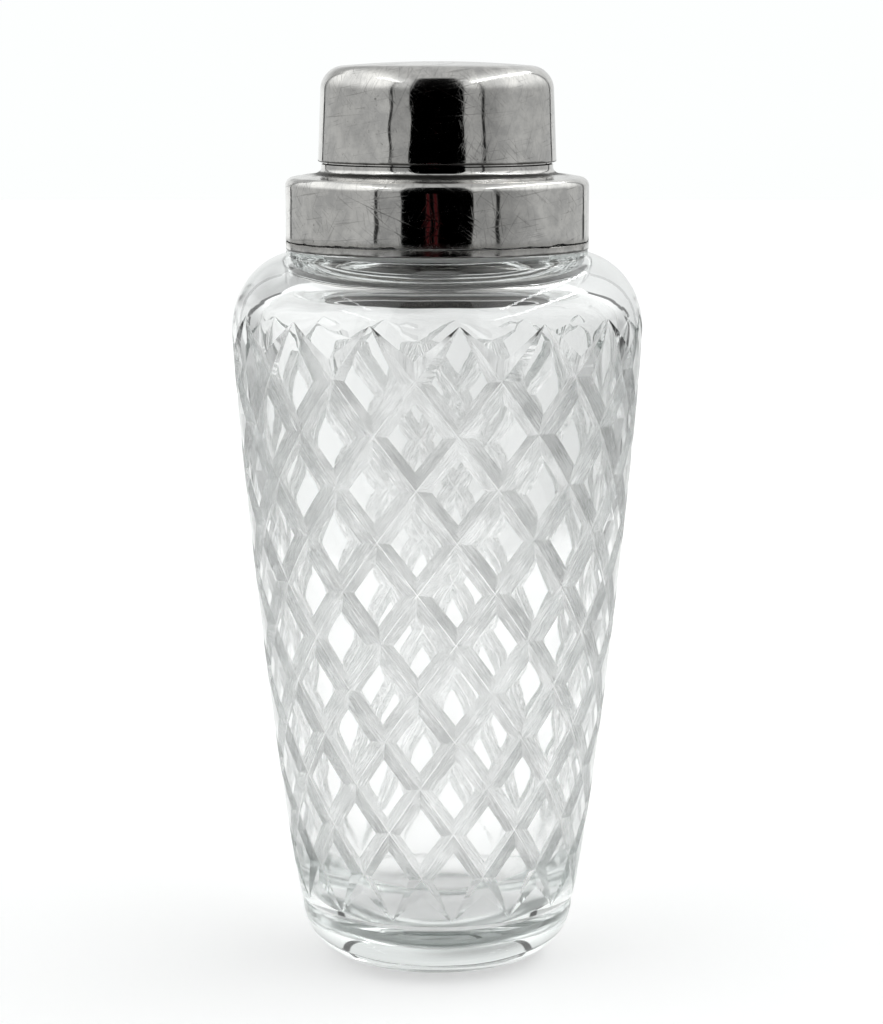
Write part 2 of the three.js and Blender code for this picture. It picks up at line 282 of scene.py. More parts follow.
def patch(mesh, a, b, c, d, along, across, mark=0.0):
    """A grid of faces over the corners a, b, c, d on the glass surface, sunk by their depths."""
    a, b, c, d = (np.array(p) for p in (a, b, c, d))
    length, width = patch_size(a, b), patch_size(a, d)
    # where a patch starts along the wheel lines depends on where it is, so that they don't all match
    start_at = a[0] * 3 + a[1] * 5
    grid, spots = [], []
    for j in range(across + 1):
        v = j / across
        start, end = a + (d - a) * v, b + (c - b) * v
        row = [start + (end - start) * i / along for i in range(along + 1)]
        grid.append([mesh.polar(deg, outer_radius(z) - sink, z) for deg, z, sink in row])
        spots.append([(start_at + length * i / along, width * v) for i in range(along + 1)])
    for j in range(across):
        low, high, low_spots, high_spots = grid[j], grid[j + 1], spots[j], spots[j + 1]
        for i in range(along):
            mesh.face(low[i], low[i + 1], high[i + 1], high[i], mark=mark,
                      spots=[low_spots[i], low_spots[i + 1], high_spots[i + 1], high_spots[i]])


def slope_shade_mark(row, side):
    """How grey one slope is, as painted shade for the darker things seen through it: lower slopes
    are greyest high on the glass, upper ones low on it.
    """
    down = row / ROWS
    lower_right, upper_right = 0.45 - 0.45 * down, 0.30 + 0.50 * down
    upper_left, lower_left = 0.20 + 0.35 * down, 0.80 - 0.80 * down
    greyness = (lower_right, upper_right, upper_left, lower_left)[side] + chance.uniform(-0.2, 0.2)
    return CLEAR_SLOPE + (GREY_SLOPE - CLEAR_SLOPE) * min(1.0, max(0.0, greyness))


def cut_side(mesh, mark, start, end, end_corner, start_corner):
    """One slope of a cut, with its share of the narrow flat along the bottom of the groove."""
    def flat_edge(node, over):
        angle, height = (n + GROOVE_FLAT * (o - n) for n, o in zip(node[:2], over[:2]))
        return angle, height, node[2]

    start_edge, end_edge = flat_edge(start, start_corner), flat_edge(end, end_corner)
    patch(mesh, start, end, end_edge, start_edge, FACET_STEPS, 1)
    patch(mesh, start_edge, end_edge, end_corner, start_corner, FACET_STEPS, FACET_ROWS, mark=mark)


def diamond_cell(mesh, row, degrees):
    """One flat diamond and the four slopes of the cuts round it."""
    sides = [(0, 1), (1, 0), (0, -1), (-1, 0)]
    corners = [corner(row, degrees, across, down) for across, down in sides]
    nodes = [crossing(row + down, degrees + across * HALF_COLUMN) for across, down in sides]
    patch(mesh, *corners, FACET_STEPS, FACET_STEPS)
    for i in range(4):
        j = (i + 1) % 4
        cut_side(mesh, slope_shade_mark(row, i), nodes[i], nodes[j], corners[j], corners[i])


def lattice_edge(mesh, side, limit):
    """The outermost slopes and the plain glass between them and a level ring at height limit."""
    row = 0 if side < 0 else ROWS
    for column in range(COLUMNS):
        middle = LATTICE_TURN + HALF_COLUMN * (2 * column + 1)
        notch = corner(row, middle, 0, -side)
        node = crossing(row - side, middle)
        for hand in (-side, side):
            apex = crossing(row, middle - hand * HALF_COLUMN)
            cut_side(mesh, slope_shade_mark(row, 0), apex, node, notch, apex)
            above, over = (apex[0], limit, 0), (middle, limit, 0)
            patch(mesh, apex, notch, over, above, FACET_STEPS, FACET_ROWS)


def cut_glass():
    """The glass body with its lattice of mitre cuts."""
    mesh = Mesh()
    for row in range(1, ROWS):
        offset = 0 if row % 2 else HALF_COLUMN
        for column in range(COLUMNS):
            diamond_cell(mesh, row, LATTICE_TURN + offset + 2 * HALF_COLUMN * column)
    steps = 2 * COLUMNS * FACET_STEPS
    upper = shoulder_outline()
    lower = [(0, 0), *foot_outline()]
    inner = [upper[-1], *inner_outline(), (0, FLOOR_HEIGHT)]
    lattice_edge(mesh, -1, upper[0][1])
    lattice_edge(mesh, 1, lower[-1][1])
    for outline, inside in ((upper, False), (lower, False), (inner, True)):
        rings = [mesh.ring(r, z, steps, LATTICE_TURN) for r, z in outline]
        for i, (low, high) in enumerate(zip(rings, rings[1:])):
            dulled = inside and outline[i][1] < BELLY_HEIGHT
            mesh.band(low, high, INSIDE if dulled else 0.0)
    # the finish marks carry each slope's painted shade and the dulled inside
    return mesh.finish("cut_glass_body", 8, "finish")


# ---------------------------------------------------------------- metal pieces


def cap_outline(inset):
    """From the middle of the cap's top out and down to the rim, moved in by inset."""
    top_radius, edge_round, dome = 28.7, 6, 1
    edge_height = CAP_TOP - dome - edge_round
    edge_centre = top_radius - edge_round
    round_now = edge_round - inset
    dome_curve = [
        (edge_centre * t, CAP_TOP - inset - dome * t * t) for t in np.linspace(0, 0.96, 14)
    ]
    # rings close to both ends of the wall keep its smooth shading flat
    support = 0.04
    wall_top = np.array((edge_centre + round_now, edge_height))
    wall_bottom = np.array((CAP_RADIUS - inset, CAP_BOTTOM))
    wall = [
        tuple(wall_top + (wall_bottom - wall_top) * share) for share in (support, 1 - support, 1)
    ]
    return [*dome_curve, *arc(edge_centre, edge_height, round_now, round_now, 88, 0, 18), *wall]


def rounded_edge(outside, inside, radius=0.35):
    """Points that take the sharpness off a cut sheet edge at the bottom."""
    (outer, height), (inner, _) = outside, inside
    return [
        (outer, height + radius),
        (outer - radius * 0.3, height + radius * 0.3),
        (outer - radius, height),
        (inner + radius * 0.6, height),
        (inner, height + radius),
    ]


def cap_shell():
    outside = cap_outline(0)
    inside = cap_outline(SHEET)
    rim = rounded_edge(outside[-1], inside[-1])
    return turned("cap_spun_shell", [*inside[:-1], *rim[::-1], *outside[:-1][::-1]])


def collar_shell():
    """Skirt, rounded edge, shoulder, flare, seat for the cap and the spout."""
    edge_height, edge_round, shoulder_rise, flare_height = 194.6, 2.3, 0.6, 1.8
    slope_radius, slope_drop = 33.2, 0.22
    flare_radius, seat_radius, seat_height = 31.2, 28.6, CAP_BOTTOM - FIT_GAP
    spout_radius, spout_top_radius = 28, 27.2
    # a ring close under the rounded edge keeps the skirt's smooth shading flat
    support, chamfer = 0.3, 0.3
    edge_centre = COLLAR_RADIUS - edge_round
    shoulder_top = edge_height + edge_round + shoulder_rise
    flare_centre = shoulder_top + flare_height
    inside = edge_round - SHEET
    return turned("collar_spun_shell", [
        (COLLAR_RADIUS, SKIRT_BOTTOM),
        (COLLAR_RADIUS, edge_height - support),
        *arc(edge_centre, edge_height, edge_round, edge_round, 0, 90, 12),
        (slope_radius, shoulder_top - slope_drop),
        *arc(flare_radius, flare_centre, flare_radius - seat_radius, flare_height, 270, 180, 12),
        (seat_radius, seat_height - chamfer),
        (seat_radius - chamfer, seat_height),
        (spout_radius, seat_height),
        (spout_top_radius, SPOUT_TOP),
        (spout_top_radius - SHEET, SPOUT_TOP),
        (spout_radius - SHEET, seat_height),
        (spout_radius - SHEET, flare_centre),
        (flare_radius, shoulder_top - SHEET),
        *arc(edge_centre, edge_height, inside, inside, 90, 0, 8),
        (COLLAR_RADIUS - SHEET, SKIRT_BOTTOM),
    ])


def collar_band():
    depth, chamfer, top_chamfer = 2.3, 0.35, 0.12
    inner = COLLAR_RADIUS - depth
    return turned("collar_soldered_band", [
        (inner, BAND_BOTTOM),
        (COLLAR_RADIUS - chamfer, BAND_BOTTOM),
        *arc(COLLAR_RADIUS - chamfer, BAND_BOTTOM + chamfer, chamfer, chamfer, -90, 0, 4),
        (COLLAR_RADIUS, BAND_TOP - top_chamfer),
        (COLLAR_RADIUS - top_chamfer, BAND_TOP),
        (inner, BAND_TOP),
    ])


def plug_sleeve():
    tube, bend = 25.4, 0.8
    bore = tube - SHEET
    flange = FLANGE_TOP - SHEET
    return turned("plug_flanged_sleeve", [
        (bore, SLEEVE_BOTTOM),
        (tube, SLEEVE_BOTTOM),
        *arc(tube + bend, flange - bend, bend, bend, 180, 90, 5),
        (FLANGE_RADIUS, flange),
        (FLANGE_RADIUS, FLANGE_TOP),
        *arc(tube + bend, flange - bend, bend + SHEET, bend + SHEET, 90, 180, 5),
    ])


def neck_seal():
    """Moulded ring with three shallow ribs where it grips the glass."""
    edge_round, rib_depth, dips, steps = 0.6, 0.25, 4, 32
    ribs_bottom, ribs_top = SEAL_BOTTOM + 8, SEAL_TOP - 4
    ribs = [
        (SEAL_RADIUS - rib_depth * math.sin(math.pi * t * dips) ** 2,
         ribs_bottom + (ribs_top - ribs_bottom) * t)
        for t in np.linspace(0, 1, steps + 1)
    ]
    round_centre = (SEAL_RADIUS - edge_round, SEAL_BOTTOM + edge_round)
    return turned("neck_seal_ring", [
        (SEAL_BORE, SEAL_BOTTOM),
        *arc(*round_centre, edge_round, edge_round, -90, 0, 5),
        *ribs,
        (SEAL_RADIUS, SEAL_TOP),
        (SEAL_BORE, SEAL_TOP),
    ])


def seal_retainer():
    half = (RETAINER_TOP - RETAINER_BOTTOM) / 2
    return turned("seal_retainer_ring", [
        (SEAL_BORE, RETAINER_BOTTOM),
        *arc(RETAINER_RADIUS - half, RETAINER_BOTTOM + half, half, half, -90, 90, 8),
        (SEAL_BORE, RETAINER_TOP),
    ])


def spout_wire():
    half = (WIRE_TOP - WIRE_BOTTOM) / 2
    centre = (WIRE_TOP + WIRE_BOTTOM) / 2
    return turned("spout_edge_wire", arc(WIRE_RADIUS - half, centre, half, half, 0, 345, 15))


def cap_cork():
    edge_centre, edge_round, chamfer = 22.7, 4.8, 0.5
    return turned("cap_cork_liner", [
        (0, CORK_BOTTOM),
        (CORK_RADIUS - chamfer, CORK_BOTTOM),
        (CORK_RADIUS, CORK_BOTTOM + chamfer),
        *arc(edge_centre, CORK_TOP - edge_round, edge_round, edge_round, 25, 88, 10),
        (0, CORK_TOP),
    ])


def strainer_plate():
    """A disc with a middle hole and rings of 6, 12 and 18 holes, all with softened edges."""
    rings, pitch, hole, softness = 3, 6.4, 1.8, 0.12
    rim_steps, hole_steps = 96, 24
    circles = [(0, 0, PLATE_RADIUS, rim_steps)]
    for number in range(rings + 1):
        count = max(1, 6 * number)
        for i in range(count):
            angle = 2 * math.pi * i / count
            reach = number * pitch
            circles.append((reach * math.cos(angle), reach * math.sin(angle), hole, hole_steps))
    curve = bpy.data.curves.new("strainer_disc", "CURVE")
    curve.dimensions = "2D"
    curve.fill_mode = "BOTH"
    curve.extrude = ((PLATE_TOP - PLATE_BOTTOM) / 2 - softness) * MM
    curve.bevel_depth = softness * MM
    curve.bevel_resolution = 1
    curve.offset = -softness * MM
    for cx, cy, radius, steps in circles:
        spline = curve.splines.new("POLY")
        spline.points.add(steps - 1)
        spline.use_cyclic_u = True
        for i, spot in enumerate(spline.points):
            angle = 2 * math.pi * i / steps
            x, y = cx + radius * math.cos(angle), cy + radius * math.sin(angle)
            spot.co = (x * MM, y * MM, 0, 1)
    holder = bpy.data.objects.new("strainer_disc", curve)
    bpy.context.scene.collection.objects.link(holder)
    graph = bpy.context.evaluated_depsgraph_get()
    data = bpy.data.meshes.new_from_object(holder.evaluated_get(graph))
    bpy.data.objects.remove(holder)
    for vertex in data.vertices:
        vertex.co.z += (PLATE_TOP + PLATE_BOTTOM) / 2 * MM
    piece = bpy.data.objects.new("strainer_disc", data)
    bpy.context.scene.collection.objects.link(piece)
    return piece


# ---------------------------------------------------------------- node helpers


class Nodes:
    """Short ways to build a node tree."""

    def __init__(self, tree):
        self.tree = tree
        tree.nodes.clear()

    def add(self, kind, **settings):
        node = self.tree.nodes.new(kind)
        for name, value in settings.items():
            setattr(node, name, value)
        return node

    def put(self, socket, value):
        if isinstance(value, bpy.types.NodeSocket):
            self.tree.links.new(value, socket)
        else:
            socket.default_value = value

    def math(self, operation, *values, clamp=False):
        node = self.add("ShaderNodeMath", operation=operation, use_clamp=clamp)
        for socket, value in zip(node.inputs, values):
            self.put(socket, value)
        return node.outputs[0]

    def vector(self, operation, *values):
        node = self.add("ShaderNodeVectorMath", operation=operation)
        for socket, value in zip(node.inputs, values):
            self.put(socket, value)
        return node.outputs["Vector"]

    def ramp(self, value, start, end, low=0.0, high=1.0):
        """low at start, high at end, smooth in between, flat outside."""
        node = self.add("ShaderNodeMapRange", interpolation_type="SMOOTHSTEP")
        for socket, given in zip(node.inputs, (value, start, end, low, high)):
            self.put(socket, given)
        return node.outputs[0]

    def mix(self, share, a, b):
        """A colour between a at share 0 and b at share 1."""
        node = self.add("ShaderNodeMix", data_type="RGBA")
        self.put(node.inputs["Factor"], share)
        self.put(node.inputs["A"], a)
        self.put(node.inputs["B"], b)
        return node.outputs["Result"]

    def position(self):
        """The x, y and z of the shaded spot on the piece, in metres."""
        split = self.add("ShaderNodeSeparateXYZ")
        self.put(split.inputs[0], self.add("ShaderNodeTexCoord").outputs["Object"])
        return split.outputs

    def noise(self, scale, detail=2.0, roughness=0.5, where=None):
        """Noise from 0 to 1 over the piece, scale in waves per metre."""
        node = self.add("ShaderNodeTexNoise")
        if where is None:
            where = self.add("ShaderNodeTexCoord").outputs["Object"]
        self.put(node.inputs["Vector"], where)
        self.put(node.inputs["Scale"], scale)
        self.put(node.inputs["Detail"], detail)
        self.put(node.inputs["Roughness"], roughness)
        return node.outputs[0]

    def apart(self, a, b):
        """How far apart two values are."""
        return self.math("ABSOLUTE", self.math("SUBTRACT", a, b))

    def bump(self, height, distance, strength=1.0, normal=None):
        node = self.add("ShaderNodeBump")
        self.put(node.inputs["Height"], height)
        self.put(node.inputs["Distance"], distance)
        self.put(node.inputs["Strength"], strength)
        if normal is not None:
            self.put(node.inputs["Normal"], normal)
        return node.outputs[0]


def grey(value, warmth=0.0):
    """A grey, slightly warm where warmth is above 0."""
    return (value * (1 + warmth), value, value * (1 - 1.6 * warmth), 1)


def material(name, **values):
    """A new material with one Principled node whose plain sockets are set from values."""
    made = bpy.data.materials.new(name)
    made.use_nodes = True
    nodes = Nodes(made.node_tree)
    shader = nodes.add("ShaderNodeBsdfPrincipled")
    output = nodes.add("ShaderNodeOutputMaterial")
    nodes.put(output.inputs["Surface"], shader.outputs[0])
    for socket, value in values.items():
        nodes.put(shader.inputs[socket.replace("_", " ")], value)
    return made, nodes, shader, output


# ---------------------------------------------------------------- materials


def crystal_material():
    """Cut crystal: clear flats, slopes with wheel lines and a grey of painted shade, a dulled
    inside.
    """
    made, nodes, shader, output = material("cut_crystal", IOR=1.545, Transmission_Weight=1.0)
    # the finish marks carry each slope's painted shade and the dulled inside
    mark = nodes.add("ShaderNodeAttribute", attribute_name="finish").outputs["Fac"]
    slope_span = GREY_SLOPE - CLEAR_SLOPE
    slope_middle = (GREY_SLOPE + CLEAR_SLOPE) / 2
    on_slope = nodes.math("COMPARE", mark, slope_middle, slope_span / 2 + 0.05)
    greyness = nodes.math("DIVIDE", nodes.math("SUBTRACT", mark, CLEAR_SLOPE), slope_span)
    on_inside = nodes.math("COMPARE", mark, INSIDE, 0.1)

    # washing has dulled the inside, most of all low down
    dull_low, dull_high = 30 * MM, 50 * MM
    grain = nodes.noise(1100, 3, 0.6)
    rough = nodes.ramp(nodes.noise(900, 3), 0.45, 0.8, 0.0, 0.04)
    dulled = nodes.ramp(nodes.position()[2], dull_low, dull_high, 0.16, 0.045)
    rough = nodes.math("MULTIPLY_ADD", on_inside, dulled, rough)
    rough = nodes.math("MULTIPLY_ADD", nodes.math("MULTIPLY", on_slope, grain), 0.02, rough)
    nodes.put(shader.inputs["Roughness"], rough)

    # the wheel leaves fine lines along each cut
    on_cut = nodes.add("ShaderNodeUVMap", uv_map="along_the_cuts").outputs[0]
    lines = nodes.noise(1.0, 3.0, 0.7, where=nodes.vector("MULTIPLY", on_cut, (0.10, 3.0, 1.0)))
    ruled = nodes.math("MULTIPLY", nodes.ramp(lines, 0.42, 0.58), on_slope)
    waves = nodes.bump(nodes.noise(45, 1.0), 0.0012, 0.35)
    grained = nodes.bump(nodes.math("MULTIPLY", grain, on_slope), 0.00003, 0.6, waves)
    nodes.put(shader.inputs["Normal"], nodes.bump(ruled, 0.00012, 0.9, grained))

    # a grey of painted shade on the slopes that differs from cut to cut, counted once, where light
    # enters from outside
    patchy = nodes.math("MULTIPLY", nodes.noise(110, 2, 0.6), 0.7)
    patchy = nodes.math("MULTIPLY_ADD", lines, 0.8, patchy)
    patches = nodes.ramp(patchy, 0.58, 0.92, 0.40, -0.40)
    greyness = nodes.math("ADD", greyness, patches, clamp=True)
    slope_shade = nodes.mix(greyness, grey(1.0), grey(0.44))
    from_inside = nodes.add("ShaderNodeNewGeometry").outputs["Backfacing"]
    slope_shade_share = nodes.math("MULTIPLY", on_slope, nodes.math("SUBTRACT", 1.0, from_inside))
    nodes.put(shader.inputs["Base Color"], nodes.mix(slope_shade_share, grey(1.0), slope_shade))

    tint = nodes.add("ShaderNodeVolumeAbsorption")
    tint.inputs["Color"].default_value = (0.80, 0.86, 0.84, 1)
    tint.inputs["Density"].default_value = 7.0
    nodes.put(output.inputs["Volume"], tint.outputs[0])
    return made


# scratches on the metal: slant in degrees, stretch (a small one draws them out long), strength
SCRATCHES = (
    (8, 0.05, 1.0),
    (-38, 0.06, 0.9),
    (62, 0.05, 0.8),
    (-80, 0.06, 0.7),
    (3, 0.012, 1.6),
    (-24, 0.01, 1.6),
)


def plate_tone(nodes, tone, mottle):
    """Colour of old silver plate: soft clouds, finer mottle, and dark specks in some places."""
    cloud = nodes.noise(26, 3, 0.55)
    dark, light = grey(tone * 0.82, 0.012), grey(tone * 1.14, 0.02)
    colour = nodes.mix(nodes.ramp(mottle, 0.34, 0.66), dark, light)
    colour = nodes.mix(nodes.ramp(cloud, 0.35, 0.7, 0, 0.25), colour, grey(tone * 0.60, 0.03))
    specks = nodes.ramp(nodes.noise(900, 4, 0.75), 0.62, 0.70)
    speckled = nodes.math("MULTIPLY", specks, nodes.ramp(nodes.noise(33, 2), 0.50, 0.60))
    return nodes.mix(nodes.math("MULTIPLY", speckled, 0.85), colour, grey(0.06, 0.08))


def scratched(nodes, x, y, height):
    """How scratched each place is: thin broken streaks, straight over the unrolled side."""
    unrolled_radius, scale, long_stretch = 33 * MM, 1900, 0.02
    around = nodes.math("ARCTAN2", x, nodes.math("MULTIPLY", y, -1.0))
    around = nodes.math("MULTIPLY", around, unrolled_radius)
    wear = 0.0
    for shift, (degrees, stretch, amount) in enumerate(SCRATCHES):
        cos, sin = math.cos(math.radians(degrees)), math.sin(math.radians(degrees))
        along = nodes.math("MULTIPLY_ADD", around, cos, nodes.math("MULTIPLY", height, sin))
        across = nodes.math("MULTIPLY_ADD", height, cos, nodes.math("MULTIPLY", around, -sin))
        spot = nodes.add("ShaderNodeCombineXYZ")
        places = (nodes.math("MULTIPLY", along, stretch), across, shift)
        for socket, value in zip(spot.inputs, places):
            nodes.put(socket, value)
        streaks = nodes.noise(scale, 2.0, where=spot.outputs[0])
        rarity = 0.07 if stretch < long_stretch else 0.0
        streaks = nodes.ramp(streaks, 0.60 + rarity, 0.70 + rarity)
        wear = nodes.math("MULTIPLY_ADD", streaks, amount, wear)
    return nodes.math("MULTIPLY", wear, nodes.ramp(nodes.noise(60, 3, 0.6), 0.35, 0.6, 0.35, 1.0))


def edge_wear(nodes, height, edge_height, reach):
    """1 at a rounded edge that handling has dulled, 0 beyond its reach."""
    from_edge = nodes.apart(height, edge_height * MM)
    return nodes.ramp(from_edge, reach * 0.4 * MM, reach * MM, 1, 0)


def crevice_shade(nodes, height, crevice):
    """1 in a dark band of painted shade at a height, with an uneven edge."""
    from_crevice = nodes.apart(height, crevice * MM)
    shade_edge = nodes.math("MULTIPLY_ADD", nodes.noise(120, 4, 0.7), 0.0016, -0.0002)
    return nodes.ramp(nodes.math("DIVIDE", from_crevice, shade_edge), 0.35, 1.0, 1, 0)


def solder_seam(nodes, height, seam_height):
    """The broken line of dirt along a soldered seam, and the worn plating beside it."""
    swing = 0.0022
    wander = nodes.noise(110, 5, 0.7)
    wander = nodes.math("MULTIPLY_ADD", wander, swing, seam_height * MM - swing / 2)
    from_line = nodes.apart(height, wander)
    broken = nodes.ramp(nodes.noise(55, 4, 0.7), 0.44, 0.54)
    line = nodes.math("MULTIPLY", nodes.ramp(from_line, 0.00010, 0.00030, 1, 0), broken)
    beside = nodes.ramp(from_line, 0.0003, 0.0019, 1, 0)
    return line, nodes.math("MULTIPLY", beside, nodes.noise(420, 4, 0.75))


def silver_material(name, tone=0.69, seam_height=None, crevices=(), worn_edge=None):
    """Old silver plate: a hazy mirror, scratched every way, mottled, with dark specks.

    seam_height adds the line of a soldered seam. crevices are heights where painted shade darkens
    the plate, and worn_edge the height and reach of a dulled edge, all in millimetres.
    """
    made, nodes, shader, _ = material(name, Metallic=1.0)
    x, y, height = nodes.position()
    mottle = nodes.noise(190, 5, 0.7)
    colour = plate_tone(nodes, tone, mottle)
    rough = nodes.math("MULTIPLY_ADD", mottle, 0.07, 0.015)

    wear = scratched(nodes, x, y, height)
    worn_tone = grey(tone * 0.30, 0.02)
    colour = nodes.mix(nodes.math("MULTIPLY", wear, 0.42, clamp=True), colour, worn_tone)
    rough = nodes.math("MULTIPLY_ADD", wear, 0.10, rough)
    if worn_edge:
        rough = nodes.math("MULTIPLY_ADD", edge_wear(nodes, height, *worn_edge), 0.09, rough)
    for crevice in crevices:
        # each crevice gets a dark band of painted shade
        crease_shade = crevice_shade(nodes, height, crevice)
        colour = nodes.mix(nodes.math("MULTIPLY", crease_shade, 0.9), colour, grey(0.02, 0.1))
        rough = nodes.math("MULTIPLY_ADD", crease_shade, 0.3, rough)
    if seam_height is not None:
        line, worn = solder_seam(nodes, height, seam_height)
        colour = nodes.mix(nodes.math("MULTIPLY", worn, 0.8), colour, grey(0.22, 0.06))
        colour = nodes.mix(line, colour, grey(0.01))
        rough = nodes.math("MULTIPLY_ADD", worn, 0.35, rough)
        rough = nodes.math("MULTIPLY_ADD", line, 0.5, rough)
    nodes.put(shader.inputs["Base Color"], colour)
    nodes.put(shader.inputs["Roughness"], rough)
    dents = nodes.bump(nodes.noise(60, 2.0), 0.0012, 0.22)
    nodes.put(shader.inputs["Normal"], nodes.bump(wear, -0.000008, 0.5, dents))
    return made


def shade_black_material():
    """Nearly black, dull and uneven metal, a painted shade for the dark line at the foot of the
    seal.
    """
    made, nodes, shader, _ = material("painted_shade_black", Metallic=1.0)
    mottle = nodes.noise(300, 4, 0.6)
    nodes.put(shader.inputs["Base Color"], nodes.mix(mottle, grey(0.02, 0.05), grey(0.12, 0.08)))
    nodes.put(shader.inputs["Roughness"], nodes.math("MULTIPLY_ADD", mottle, 0.3, 0.3))
    nodes.put(shader.inputs["Normal"], nodes.bump(mottle, 0.00005, 0.6))
    return made


def rubber_material():
    """Pale grey rubber with a fine grain."""
    made, nodes, shader, _ = material("grey_seal_rubber", IOR=1.5)
    grain = nodes.noise(1800, 3, 0.6)
    cloud = nodes.noise(60, 2)
    nodes.put(shader.inputs["Base Color"], nodes.mix(cloud, grey(0.84), grey(0.90, 0.01)))
    nodes.put(shader.inputs["Roughness"], nodes.math("MULTIPLY_ADD", grain, 0.25, 0.55))
    nodes.put(shader.inputs["Normal"], nodes.bump(grain, 0.00004, 0.5))
    return made


def cork_material():
    """Pressed cork: light granules, darker joints and small pits."""
    made, nodes, shader, _ = material("pressed_cork")
    granules_per_metre = 420
    where = nodes.add("ShaderNodeTexCoord").outputs["Object"]
    cells = nodes.add("ShaderNodeTexVoronoi")
    joints = nodes.add("ShaderNodeTexVoronoi", feature="DISTANCE_TO_EDGE")
    for pattern in (cells, joints):
        nodes.put(pattern.inputs["Vector"], where)
        nodes.put(pattern.inputs["Scale"], granules_per_metre)
    granule = nodes.math("FRACT", nodes.math("MULTIPLY", cells.outputs["Distance"], 7.3))
    colour = nodes.mix(granule, (0.42, 0.25, 0.12, 1), (0.60, 0.40, 0.22, 1))
    joint = nodes.ramp(joints.outputs["Distance"], 0.0, 0.09, 1, 0)
    pits = nodes.ramp(nodes.noise(500, 3, 0.6), 0.62, 0.70)
    colour = nodes.mix(nodes.math("MULTIPLY", joint, 0.6), colour, (0.25, 0.13, 0.06, 1))
    colour = nodes.mix(pits, colour, (0.12, 0.06, 0.03, 1))
    nodes.put(shader.inputs["Base Color"], colour)
    nodes.put(shader.inputs["Roughness"], nodes.math("MULTIPLY_ADD", granule, 0.1, 0.82))
    dents = nodes.math("ADD", joint, nodes.math("MULTIPLY", pits, 2.0))
    nodes.put(shader.inputs["Normal"], nodes.bump(dents, -0.00015, 0.8))
    return made


def floor_material():
    """A pale floor with some light of its own, which keeps it near white."""
    made, nodes, shader, _ = material("pale_floor")
    cloud = nodes.noise(3, 2)
    nodes.put(shader.inputs["Base Color"], nodes.mix(cloud, grey(0.74), grey(0.77)))
    nodes.put(shader.inputs["Emission Color"], grey(1.0))
    nodes.put(shader.inputs["Emission Strength"], 0.40)
    nodes.put(shader.inputs["Roughness"], nodes.math("MULTIPLY_ADD", cloud, 0.1, 0.75))
    return made


# ---------------------------------------------------------------- pieces on their bodies


def place(piece, body, node, finish):
    """Puts a piece on its body in place of its CAD node, in the slot's material."""
    piece.data.materials.clear()
    piece.data.materials.append(finish)
    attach(piece, body)
    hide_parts(node)
    return piece


# where painted shade darkens just above the foot of the collar's flare, and each worn edge's height
# and reach
FLARE_SHADE = CAP_BOTTOM - 2.7
CAP_EDGE, COLLAR_EDGE = (CAP_TOP - 3, 5), (196.5, 2.5)

silver = silver_material("silver_plate")
silver_cap = silver_material("silver_plate_cap", crevices=(CAP_BOTTOM,), worn_edge=CAP_EDGE)
silver_seam = silver_material(
    "silver_plate_at_seam",
    seam_height=(SKIRT_BOTTOM + BAND_TOP) / 2,
    crevices=(BAND_BOTTOM, FLARE_SHADE),
    worn_edge=COLLAR_EDGE,
)
shade_black = shade_black_material()
rubber = rubber_material()

place(cut_glass(), "glass", "glass_body", crystal_material())
place(collar_shell(), "strainer_top", "collar_shell", silver_seam)
place(collar_band(), "strainer_top", "collar_base_band", silver_seam)
place(plug_sleeve(), "strainer_top", "plug_sleeve", silver)
place(neck_seal(), "strainer_top", "neck_seal", rubber)
# the retainer's near-black is painted shade for the dark gap at the seal's foot
place(seal_retainer(), "strainer_top", "seal_retainer", shade_black)
place(strainer_plate(), "strainer_top", "strainer_plate", silver)
place(spout_wire(), "strainer_top", "spout_rim_wire", silver)
place(cap_shell(), "cap", "cap_shell", silver_cap)
place(cap_cork(), "cap", "cap_cork", cork_material())

# ---------------------------------------------------------------- floor, light and camera


# The studio tent: half its width in metres, and how far its walls and its ceiling are from the
# shaker as shares of that.
TENT_HALF = 0.40
TENT_FRONT, TENT_BACK, TENT_CEILING = 0.966, 1.48, 1.05


def floor_piece(name, points, faces, finish):
    """One flat piece of the studio's floor, which is no part of the object."""
    data = bpy.data.meshes.new(name)
    data.from_pydata(points, [], faces)
    data.materials.append(finish)
    piece = bpy.data.objects.new(name, data)
    bpy.context.scene.collection.objects.link(piece)
    return piece


def add_floor():
    """The tent's floor, and the same floor carried on round it, which the metal doesn't mirror."""
    finish = floor_material()
    front, back, far = -TENT_FRONT * TENT_HALF, TENT_BACK * TENT_HALF, 4
    # a hair under the glass, so that the two flats don't coincide
    height = -0.05 * MM
    near_corners = ((-TENT_HALF, front), (TENT_HALF, front), (TENT_HALF, back), (-TENT_HALF, back))
    far_corners = ((-far, -far), (far, -far), (far, far), (-far, far))
    inner = [(x, y, height) for x, y in near_corners]
    outer = [(x, y, height) for x, y in far_corners]
    floor_piece("floor", inner, [(0, 1, 2, 3)], finish)
    sides = [((i + 1) % 4, 4 + (i + 1) % 4, 4 + i, i) for i in range(4)]
    outskirts = floor_piece("floor_outskirts", inner + outer, sides, finish)
    outskirts.visible_glossy = False
    outskirts.visible_transmission = False


